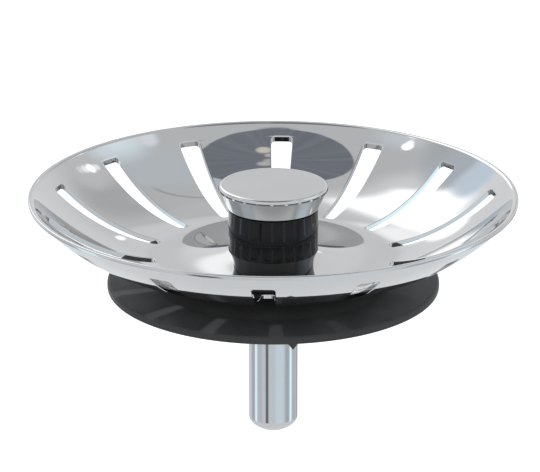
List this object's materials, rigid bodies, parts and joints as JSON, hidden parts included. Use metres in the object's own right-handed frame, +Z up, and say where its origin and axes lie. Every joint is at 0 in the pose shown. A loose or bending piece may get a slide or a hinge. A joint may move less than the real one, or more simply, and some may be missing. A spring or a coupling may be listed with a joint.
{
  "type": "sink basket strainer plug",
  "caption": "Lift-out strainer plug for a sink waste: a shallow slotted dish with a knob above, a rubber seal below and a round stem with a domed end.",
  "frame": {"origin": "lowest point of the stem's domed end, on the plug's axis", "axes": "+Z up the plug's axis, from the stem to the knob; -Y towards the picture's viewer, +X to the viewer's right"},
  "size_m": [0.078, 0.078, 0.0422],
  "materials": {
    "polished_steel": "mirror polished",
    "black_plastic": "gloss",
    "black_rubber": "satin",
    "brass": "turned",
    "plain_steel": "plain"
  },
  "bodies": {
    "head": {"strainer_dish": "polished_steel", "knob_cap": "polished_steel", "knob_grip": "black_plastic", "thread_insert": "brass", "knob_collar": "black_plastic", "seal_hub": "black_plastic", "seal": "black_rubber", "backing_plate": "plain_steel", "lock_nut": "plain_steel"},
    "ring": {"stem_ring": "black_rubber"},
    "stem": {"stem": "polished_steel"}
  },
  "joints": [
    {"name": "stem_turn", "type": "hinge", "parent": "head", "child": "ring", "pos_m": [0, 0, 0.02905], "axis": [0, 0, 1], "range_deg": [-721, 721]},
    {"name": "stem_travel", "type": "slide", "parent": "ring", "child": "stem", "axis": [0, 0, 1], "range_m": [-0.002, 0.002]}
  ],
  "couplings": [
    {"joint": "stem_turn", "follows": "stem_travel", "rad_per_m": 6283.2}
  ]
}
